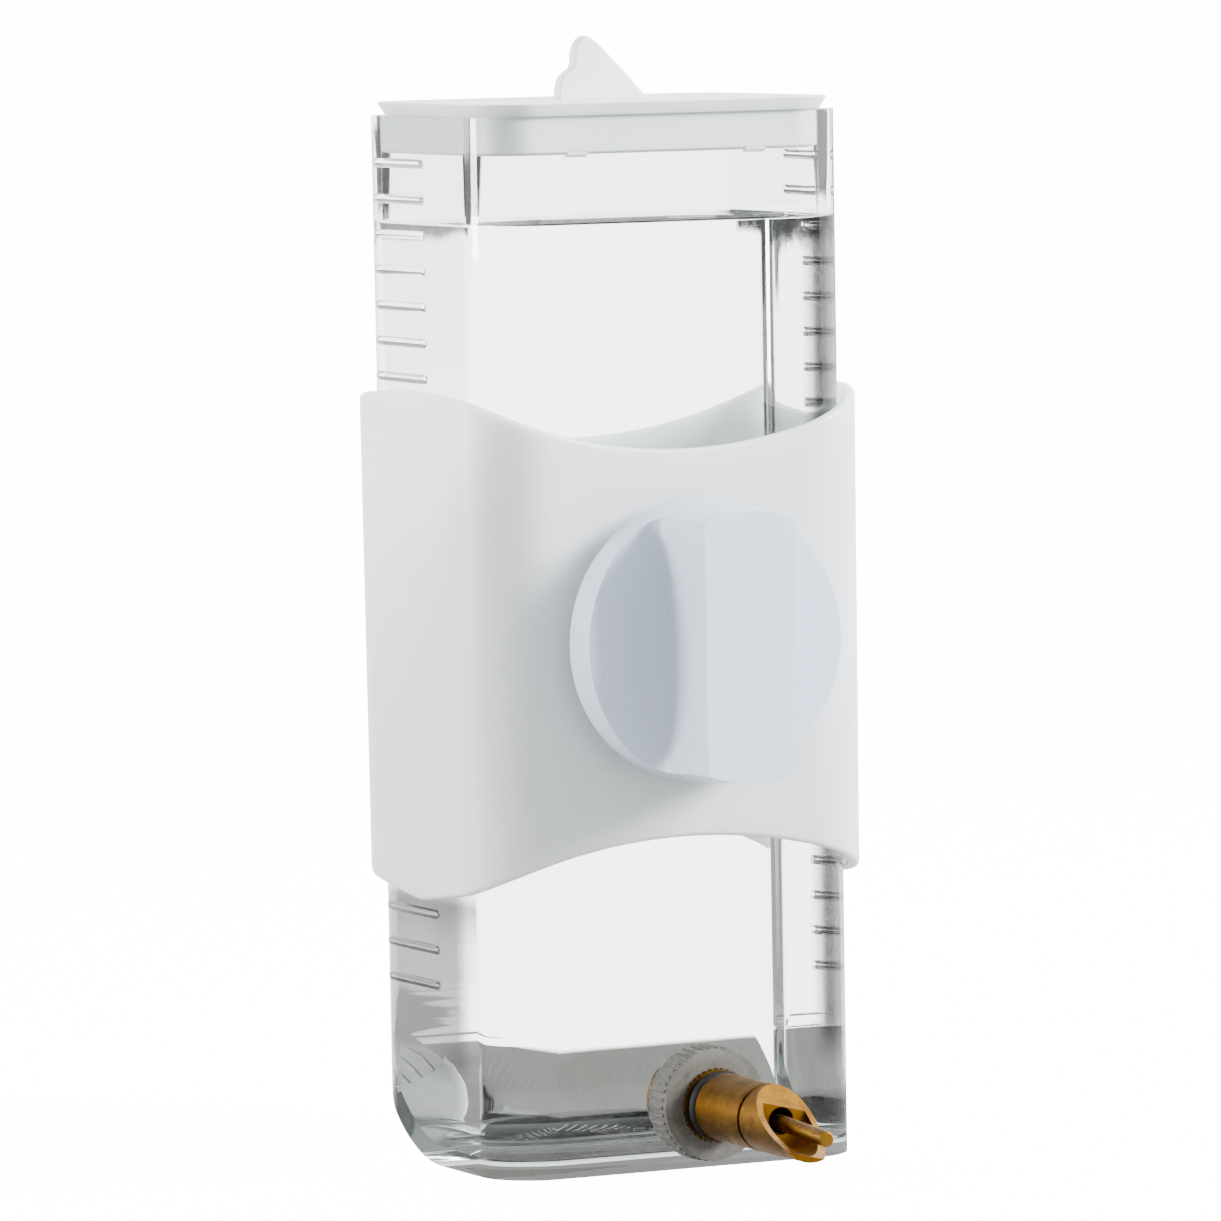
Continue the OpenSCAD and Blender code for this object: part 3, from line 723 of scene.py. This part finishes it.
@dataclass
class Lid:
    """White plug lid: a flange with a sloped neck, a hollow skirt with snap beads and an upright pull tab."""

    bottle: Bottle
    inset: float = 0.8
    thickness: float = 1.25
    neck: float = 0.65
    lift: float = 0.1
    skirt: float = 5.2
    skirt_wall: float = 1.3
    skirt_sink: float = 0.3
    gap: float = 0.25
    neck_inset: float = 0.95
    edge: float = 0.35
    bead_place: tuple[float, float] = (14.0, 19.4)
    bead_size: tuple[float, float] = (0.6, 3.0)  # radius, length
    bead_rise: float = 0.03
    tab_thickness: float = 2.2
    tab_edge: float = 0.45
    tab_sink: float = 0.2
    tab: tuple[tuple[float, float], ...] = (
        (-7.6, -0.4), (-7.15, 0.0), (-7.1, 1.3), (-6.9, 2.4), (-6.4, 3.3), (-5.6, 4.0), (-4.9, 4.4), (-4.65, 5.0),
        (-4.6, 5.8), (-4.55, 6.6), (-4.2, 7.7), (-3.65, 8.45), (-3.1, 8.9), (-2.55, 9.0), (-1.95, 8.75), (-0.8, 7.95),
        (0.7, 6.45), (2.6, 4.55), (4.2, 2.9), (5.6, 1.35), (6.5, 0.5), (7.4, 0.05), (7.9, -0.4))

    def plate(self, name: str, inset: float, low: float, high: float) -> Piece:
        """Make an upright block with the bottle's outline, drawn in by an inset."""
        size = (self.bottle.width - 2 * inset, self.bottle.depth - 2 * inset, high - low)
        made = block(name, size, (0, self.bottle.middle, (high + low) / 2))
        round_edges(made, self.bottle.corner - inset, 12, upright)
        return made

    def build(self) -> None:
        """Model the lid and let it ride on the cover."""
        rim = self.bottle.height
        low = rim + self.neck
        foot = rim + self.lift
        flange = self.plate("flange", self.inset, foot, low + self.thickness)
        half = (self.bottle.width / 2 - self.inset, self.bottle.depth / 2 - self.inset)
        for point in flange.data.vertices:
            if point.co.z < foot + TOUCH:
                point.co.x *= 1 - self.neck_inset / half[0]
                point.co.y = self.bottle.middle + (point.co.y - self.bottle.middle) * (1 - self.neck_inset / half[1])
        round_edges(flange, self.edge, 3, over(low + self.thickness))
        skirt = self.plate("skirt", self.bottle.wall + self.gap, rim - self.skirt, low + self.skirt_sink)
        round_edges(skirt, self.edge, 3, under(rim - self.skirt))
        pick_faces(skirt, lambda centre, normal: normal.z < -0.9)
        bpy.ops.mesh.inset(thickness=self.skirt_wall - self.edge)
        bpy.ops.mesh.extrude_region_move(TRANSFORM_OT_translate={"value": (0, 0, self.skirt)})
        rest()
        combine(flange, skirt, "UNION")
        across, along = self.bead_place
        radius, length = self.bead_size
        for x in (-across, across):
            for y in (-along, along):
                place = (x, self.bottle.middle + y, rim - self.skirt + self.bead_rise)
                combine(flange, rod("bead", radius, length, place, axis="X", sides=24), "UNION")
        combine(flange, self.pull_tab(low + self.thickness), "UNION")
        settle(flange, "Lid", "cover", Dress.LID, ("lid",), sharp=40)

    def pull_tab(self, low: float) -> Piece:
        """Make the upright tab from its outline, with rounded rims."""
        rest()
        bpy.ops.mesh.primitive_circle_add(vertices=len(self.tab), fill_type="NGON", radius=5,
                                          rotation=(math.pi / 2, 0, 0))
        tab = bpy.context.object
        bpy.ops.object.transform_apply()
        back = self.bottle.middle + self.tab_thickness / 2
        for point, (x, z) in zip(tab.data.vertices, self.tab):
            point.co = (x, back, low + z)
        pick_faces(tab, lambda centre, normal: True)
        bpy.ops.mesh.extrude_region_move(TRANSFORM_OT_translate={"value": (0, -self.tab_thickness, 0)})
        bpy.ops.mesh.select_all(action="SELECT")
        bpy.ops.mesh.normals_make_consistent(inside=False)
        rest()
        round_edges(tab, self.tab_edge, 4,
                    lambda a, b: abs(a.y - b.y) < TOUCH and max(a.z, b.z) > low - self.tab_sink)
        return tab


# The sleeve and the knob


@dataclass
class Sleeve:
    """White sleeve round the bottle: straight sides, wavy top and bottom edges with soft lips, and a pad in front."""

    bottle: Bottle
    low: float = 36.2
    high: float = 111.2
    side_gap: float = 0.85
    wall: float = 1.65
    inside_cad: float = 0.067
    lip: float = 0.62
    draft: float = 0.35
    top_radius: float = 72.0
    top_dip: float = 8.8
    top_slope: float = 3.2
    low_radius: float = 85.0
    low_dip: float = 11.4
    low_slope: float = 8.0
    axis: float = 75.7
    pad: tuple[float, float] = (20.0, 2.2)  # diameter, height
    pad_edge: float = 0.5
    stud: float = 8.1
    hole_length: float = 12.0
    long_edge: float = 20.0
    crest: float = 2.0
    crest_shift: float = 0.4
    cuts: tuple[int, int, int] = (30, 20, 7)  # across, along the depth, up

    def edge(self, x: float, y: float, radius: float, slope: float, depth: float) -> float:
        """How far an edge lies from its deepest point, for a place in the plan.

        Args:
            x: Distance from the middle across the front.
            y: Distance from the middle of the depth.
            radius: Radius of the curve.
            slope: Slope of the curve in degrees.
            depth: Depth of the sleeve.

        Returns:
            Height over the curve's deepest point, in millimetres.
        """
        tilt = math.radians(slope)
        arc = (radius - math.sqrt(radius ** 2 - x ** 2)) / math.cos(tilt)
        run = depth / 2 - math.sqrt(y ** 2 + self.crest ** 2) + self.crest_shift
        return arc + max(run, 0.0) * math.tan(tilt)

    def build(self) -> None:
        """Model the sleeve and let it ride on the holder."""
        outer = self.side_gap + self.wall - self.inside_cad
        width, depth = self.bottle.width + 2 * outer, self.bottle.depth + 2 * outer
        middle = self.bottle.middle
        shell = block("sleeve", (width, depth, self.high - self.low), (0, middle, (self.high + self.low) / 2))
        round_edges(shell, self.bottle.corner + outer, 16, upright)
        pick_faces(shell, lambda centre, normal: abs(normal.z) > 0.9)
        bpy.ops.mesh.delete(type="FACE")
        rest()
        for along, cuts in enumerate(self.cuts[:2]):
            pick_edges(shell, lambda a, b: abs(a[along] - b[along]) > self.long_edge)
            bpy.ops.mesh.subdivide(number_cuts=cuts)
            rest()
        pick_edges(shell, upright)
        bpy.ops.mesh.subdivide(number_cuts=self.cuts[2])
        rest()
        for point in shell.data.vertices:
            x, y, z = point.co.x, point.co.y - middle, point.co.z
            share = (z - self.low) / (self.high - self.low)
            top = min(self.high - self.top_dip + self.edge(x, y, self.top_radius, self.top_slope, depth), self.high)
            bottom = max(self.low + self.low_dip - self.edge(x, y, self.low_radius, self.low_slope, depth), self.low)
            height = bottom + share * (top - bottom)
            inward = self.draft * (self.high - height) / (self.high - self.low)
            point.co = (x * (1 - inward / (width / 2)), middle + y * (1 - inward / (depth / 2)), height)
        modify(shell, "SOLIDIFY", thickness=self.wall, offset=-1.0, use_even_offset=True)
        modify(shell, "BEVEL", width=self.lip, segments=4, limit_method="ANGLE", angle_limit=math.radians(60))
        face = middle - depth / 2 + self.draft * (self.high - self.axis) / (self.high - self.low)
        across, proud = self.pad
        pad = rod("pad", across / 2, proud + SINK, (0, face - proud / 2 + SINK / 2, self.axis))
        round_edges(pad, self.pad_edge, 3, lambda a, b: a.y < face - proud + TOUCH and b.y < face - proud + TOUCH)
        combine(shell, pad, "UNION")
        combine(shell, rod("hole", self.stud / 2, self.hole_length, (0, face, self.axis)), "DIFFERENCE")
        settle(shell, "Sleeve", "holder", Dress.SLEEVE, ("sleeve",), sharp=50)


@dataclass
class Knob:
    """Bluish white knob: a tapered disc with two side scoops that leave an upright grip bar, hollow at the back."""

    axis: float = 75.7
    base: float = -17.767
    radius: float = 20.1
    face_radius: float = 19.0
    height: float = 16.8
    grip: float = 14.2
    grip_foot: float = 17.0
    grip_draft: float = 0.2
    disc: float = 5.6
    disc_fall: float = 0.4
    dip: float = 3.9
    scoop: float = 3.2
    scoop_length: float = 60.0
    spare: float = 3.0
    shell: float = 1.9
    boss: float = 7.0
    bore: float = 5.25
    bore_length: float = 14.0
    slot_length: float = 30.0
    edge: float = 0.75

    def scoop_tool(self, side: int) -> Piece:
        """Make the prism that cuts one side away, its inner edge rounded as the bar runs out into the disc."""
        far = self.radius + self.spare
        near = self.grip_foot / 2
        size = (far - near, self.height, self.scoop_length)
        tool = block("scoop", size, ((far + near) / 2, -self.height / 2, 0))
        for point in tool.data.vertices:
            outer, up = point.co.x > (far + near) / 2, point.co.y < -self.height / 2
            if up:
                point.co.y = -self.height - 2 * SINK
                point.co.x = far if outer else self.grip / 2 - self.grip_draft
            else:
                point.co.y = -(self.disc + self.disc_fall) if outer else -self.dip
        round_edges(tool, self.scoop, 8, lambda a, b: a.y > -self.dip - TOUCH and b.y > -self.dip - TOUCH
                    and abs(a.x - near) < TOUCH and abs(b.x - near) < TOUCH)
        if side < 0:
            tool.data.transform(Matrix.Scale(-1, 4, (1, 0, 0)))
            tool.data.flip_normals()
        return tool

    def build(self) -> None:
        """Model the knob on the origin, move it to its axis and let it ride on the clamp."""
        knob = rod("knob", self.face_radius, self.height, (0, -self.height / 2, 0), end_radius=self.radius, sides=128)
        for side in (-1, 1):
            combine(knob, self.scoop_tool(side), "DIFFERENCE")
        modify(knob, "BEVEL", width=self.edge, segments=4, limit_method="ANGLE", angle_limit=math.radians(35))
        depth = self.dip - self.shell
        hollow = rod("hollow", self.radius - self.shell, depth + SINK, (0, (SINK - depth) / 2, 0))
        combine(knob, hollow, "DIFFERENCE")
        reach = self.height - self.shell
        slot = block("slot", (self.grip - 2 * self.shell, reach + SINK, self.slot_length), (0, (SINK - reach) / 2, 0))
        combine(knob, slot, "DIFFERENCE")
        combine(knob, rod("boss", self.boss, reach + 0.4, (0, -reach / 2 - 0.2, 0)), "UNION")
        combine(knob, rod("bore", self.bore, self.bore_length, (0, 1 - self.bore_length / 2, 0)), "DIFFERENCE")
        knob.data.transform(Matrix.Translation((0, self.base, self.axis)))
        settle(knob, "Knob", "clamp_knob", Dress.KNOB, ("knob",), sharp=40)


# The CAD nodes that stay


@dataclass(frozen=True)
class Hardware:
    """The CAD nodes whose shape is right, each with its finish."""

    finishes: tuple[tuple[str, Dress], ...] = (
        ("stud", Dress.STEEL), ("washer", Dress.STEEL), ("knob_insert", Dress.BRASS), ("collar", Dress.RING),
        ("gasket", Dress.RED), ("nozzle_base", Dress.BRASS), ("black_ring", Dress.BLACK), ("barrel", Dress.BRASS),
        ("retainer", Dress.STEEL), ("spring", Dress.STEEL), ("seat_ring", Dress.BLACK), ("tip", Dress.BRASS),
        ("valve_pin", Dress.PIN_BRASS))

    def dress(self) -> None:
        """Give each node its material."""
        for node, dress in self.finishes:
            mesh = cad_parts[node].data
            mesh.materials.clear()
            mesh.materials.append(dress.value.material())
            LOG.info("%s: %s", node, dress.value.name)


# The studio


@dataclass
class Studio:
    """Camera at the photograph's angle, a plain pale floor and soft lights.

    Behind the bottle stands a white light sheet, and beside it lies the grey room. The clear walls bend both into
    view, so only rays that passed the clear plastic see them; the camera itself sees a plain white backdrop.

    Attributes:
        middle: Middle of the bottle's depth, in millimetres.
        mid_height: Height that the camera looks at.
        yaw: Camera's angle to the side, in degrees.
        pitch: Camera's angle downward.
        roll: Camera's roll.
        distance: Distance of the camera in millimetres.
        slide: Shift of the camera to its right and up.
        focal_pixels: Focal length in pixels of the photograph.
        sheet_edge: Distance in metres behind the bottle at which the sheet begins.
        sheet_turn: Places to the right between which that distance grows, and by how much.
        sheet_slant: Slope of the sheet's border on the left.
        sheet_middle: Middle of the sheet's width.
        sheet_half: Half of that width.
        sheet_reach: Distance up to which the sheet covers the whole floor behind the bottle.
        sheet_top: Sine of the elevation at which it ends.
        sheet_cone: Cosines of the angle to the view between which it ends at its sides.
        sheet_colour: Colour of its light.
        table_colour: Colour of the floor in front of it.
        room: Strength of the general light in front and behind.
        through: Strength of the sheet.
        beside: Strength of the room beside it.
        dark: Strength of the room far to the left.
        backdrop: Strength of the backdrop that the camera sees.
        glow: The part of it that the lamps already give the floor.
        aim: Place that the lamps face, in metres.
    """

    middle: float = 10.3
    mid_height: float = 75.0
    yaw: float = 26.0
    pitch: float = 4.4393
    roll: float = -1.0177
    distance: float = 1299.42
    slide: tuple[float, float] = (-0.0233, 3.0298)
    focal_pixels: float = 9060.95
    sheet_edge: float = 0.075
    sheet_turn: Point = (0.1, 0.24, 0.155)
    sheet_slant: float = -0.52
    sheet_middle: float = 0.65
    sheet_half: float = 1.4
    sheet_reach: float = 3.9
    sheet_top: float = 0.03
    sheet_cone: tuple[float, float] = (0.945, 0.962)
    sheet_colour: str = "fdfdfa"
    table_colour: str = "858480"
    room: tuple[float, float] = (1.2, 4.2)
    through: float = 6.5
    beside: float = 0.45
    dark: float = 0.08
    backdrop: float = 15.0
    glow: float = 2.0
    aim: Point = (0.0, 0.01, 0.08)

    def camera(self) -> None:
        """Make the camera from the angles measured on the photograph."""
        yaw, pitch, roll = (math.radians(v) for v in (self.yaw, self.pitch, self.roll))
        ahead = Vector((math.sin(yaw) * math.cos(pitch), math.cos(yaw) * math.cos(pitch), -math.sin(pitch)))
        right = Vector((math.cos(yaw), -math.sin(yaw), 0))
        up = right.cross(ahead)
        turned = math.cos(roll) * right + math.sin(roll) * up
        above = -math.sin(roll) * right + math.cos(roll) * up
        place = (Vector((0, self.middle, self.mid_height)) - ahead * self.distance
                 + turned * self.slide[0] + above * self.slide[1]) * MM
        data = bpy.data.cameras.new("Camera")
        data.sensor_width = SENSOR
        data.lens = self.focal_pixels / PHOTO_SIDE * SENSOR
        data.clip_start, data.clip_end = 0.05, 20.0
        camera = bpy.data.objects.new("Camera", data)
        bpy.context.scene.collection.objects.link(camera)
        camera.matrix_world = Matrix((
            (turned.x, above.x, -ahead.x, place.x), (turned.y, above.y, -ahead.y, place.y),
            (turned.z, above.z, -ahead.z, place.z), (0, 0, 0, 1)))
        bpy.context.scene.camera = camera

    def directions(self) -> tuple[Point, Point]:
        """Return the level directions ahead of the camera and to its right."""
        yaw = math.radians(self.yaw)
        return (math.sin(yaw), math.cos(yaw), 0.0), (math.cos(yaw), -math.sin(yaw), 0.0)

    def sheet(self, tree: Tree, forward: Socket, lateral: Socket, reach: Socket) -> Socket:
        """Tell the light sheet behind the bottle from the table in front of it.

        Args:
            tree: Node tree that takes the nodes.
            forward: Distance behind the bottle, in metres.
            lateral: Distance to the right of it.
            reach: Distance from it.

        Returns:
            The socket that is 1 on the sheet and 0 on the table.
        """
        start, end, growth = self.sheet_turn
        edge = spread(tree, lateral, start, end, self.sheet_edge, self.sheet_edge + growth)
        limit = reckon(tree, "MAXIMUM", edge, reckon(tree, "MULTIPLY", lateral, self.sheet_slant))
        behind = spread(tree, reckon(tree, "SUBTRACT", forward, limit), -0.01, 0.01)
        across = reckon(tree, "ABSOLUTE", reckon(tree, "SUBTRACT", lateral, self.sheet_middle))
        disc = spread(tree, reach, self.sheet_reach + 0.05, self.sheet_reach - 0.05)
        strip = spread(tree, across, self.sheet_half + 0.05, self.sheet_half - 0.05)
        return spread(tree, reckon(tree, "MAXIMUM", disc, strip), 0.0, 1.0, high=behind)

    def floor(self) -> None:
        """Lay the pale floor, with the grey table top that the clear wall bends into view near the foot."""
        rest()
        bpy.ops.mesh.primitive_plane_add(size=12, location=(0, 0, 0))
        plane = bpy.context.object
        plane.name = "Floor"
        paint = bpy.data.materials.new("Pale studio floor")
        paint.use_nodes = True
        tree = paint.node_tree
        tree.nodes.clear()
        path = add_node(tree, "ShaderNodeLightPath").outputs
        place = add_node(tree, "ShaderNodeTexCoord").outputs["Object"]
        forward, lateral = (
            add_node(tree, "ShaderNodeVectorMath", {0: place, 1: way}, operation="DOT_PRODUCT").outputs["Value"]
            for way in self.directions())
        reach = add_node(tree, "ShaderNodeVectorMath", {0: place}, operation="LENGTH").outputs["Value"]
        tone = self.sheet(tree, forward, lateral, reach)
        side = spread(tree, lateral, -0.5, 0.5, self.dark, self.beside)
        room = spread(tree, reach, self.sheet_reach - 0.1, self.sheet_reach, self.beside, side)
        level = spread(tree, tone, 0.0, 1.0, room, self.through)
        bent = add_node(tree, "ShaderNodeEmission", {"Color": linear(self.sheet_colour), "Strength": level})
        shade = ramp(tree, tone, [(0.0, self.table_colour), (1.0, "f0f0ee")])
        top = add_node(tree, "ShaderNodeBsdfDiffuse", {"Color": shade.outputs["Color"]})
        table = blend(tree, path["Is Transmission Ray"], top.outputs["BSDF"], bent.outputs["Emission"])
        paper = add_node(tree, "ShaderNodeBsdfDiffuse", {"Color": linear("f4f4f4")})
        shine = add_node(tree, "ShaderNodeEmission", {"Color": linear("ffffff"), "Strength": self.backdrop - self.glow})
        white = add_node(tree, "ShaderNodeAddShader", {0: paper.outputs["BSDF"], 1: shine.outputs["Emission"]})
        both = blend(tree, path["Is Camera Ray"], table, white.outputs["Shader"])
        add_node(tree, "ShaderNodeOutputMaterial", {"Surface": both})
        plane.data.materials.append(paint)

    def lamp(self, name: str, around: float, above: float, away: float, size: float, power: float) -> None:
        """Hang a soft square lamp that faces the bottle.

        Args:
            name: Name of the lamp.
            around: Angle in degrees from the camera's side, positive toward the right of the photograph.
            above: Angle in degrees over the floor.
            away: Distance in metres.
            size: Side of the lamp in metres.
            power: Power in watts.
        """
        data = bpy.data.lights.new(name, "AREA")
        data.shape, data.size, data.energy = "SQUARE", size, power
        lamp = bpy.data.objects.new(name, data)
        bpy.context.scene.collection.objects.link(lamp)
        turn, lift = math.radians(around - self.yaw), math.radians(above)
        out = Vector((math.sin(turn) * math.cos(lift), -math.cos(turn) * math.cos(lift), math.sin(lift)))
        lamp.location = Vector(self.aim) + out * away
        lamp.rotation_euler = (-out).to_track_quat("-Z", "Y").to_euler()
        lamp.visible_transmission = False

    def sky(self) -> None:
        """Fill the studio with soft white, brightest behind the bottle, where the backdrop hangs."""
        world = bpy.data.worlds.new("Studio white")
        world.use_nodes = True
        tree = world.node_tree
        tree.nodes.clear()
        path = add_node(tree, "ShaderNodeLightPath").outputs
        place = add_node(tree, "ShaderNodeTexCoord").outputs["Generated"]
        ahead, _ = self.directions()
        behind = add_node(tree, "ShaderNodeVectorMath", {0: place, 1: ahead}, operation="DOT_PRODUCT").outputs["Value"]
        height = add_node(tree, "ShaderNodeSeparateXYZ", {"Vector": place}).outputs["Z"]
        under_top = spread(tree, height, self.sheet_top, self.sheet_top - 0.012)
        sheet = spread(tree, spread(tree, behind, *self.sheet_cone), 0.0, 1.0, high=under_top)

        def light(colour: str, strength: float | Socket) -> Socket:
            """Add one background and return its socket."""
            return add_node(tree, "ShaderNodeBackground", {
                "Color": linear(colour), "Strength": strength}).outputs["Background"]

        room = light("fbfdff", spread(tree, behind, -0.1, 0.6, *self.room))
        bent = light(self.sheet_colour, spread(tree, sheet, 0.0, 1.0, self.beside, self.through))
        seen = light("ffffff", self.backdrop)
        both = blend(tree, path["Is Camera Ray"], blend(tree, path["Is Transmission Ray"], room, bent), seen)
        add_node(tree, "ShaderNodeOutputWorld", {"Surface": both})
        bpy.context.scene.world = world

    def build(self) -> None:
        """Lay the floor and hang the lights."""
        self.floor()
        self.sky()
        self.lamp("Key", around=79, above=26, away=1.2, size=0.45, power=52.0)
        self.lamp("Side", around=-86, above=8, away=1.1, size=0.3, power=17.0)


def main() -> None:
    """Build the studio's camera, then the waterer piece by piece, then the lights."""
    bpy.context.preferences.edit.use_global_undo = False
    studio = Studio()
    studio.camera()
    bottle = Bottle()
    bottle.build()
    Lid(bottle).build()
    Sleeve(bottle).build()
    Knob().build()
    Hardware().dress()
    studio.build()
    rest()


if __name__ == "__main__":
    main()
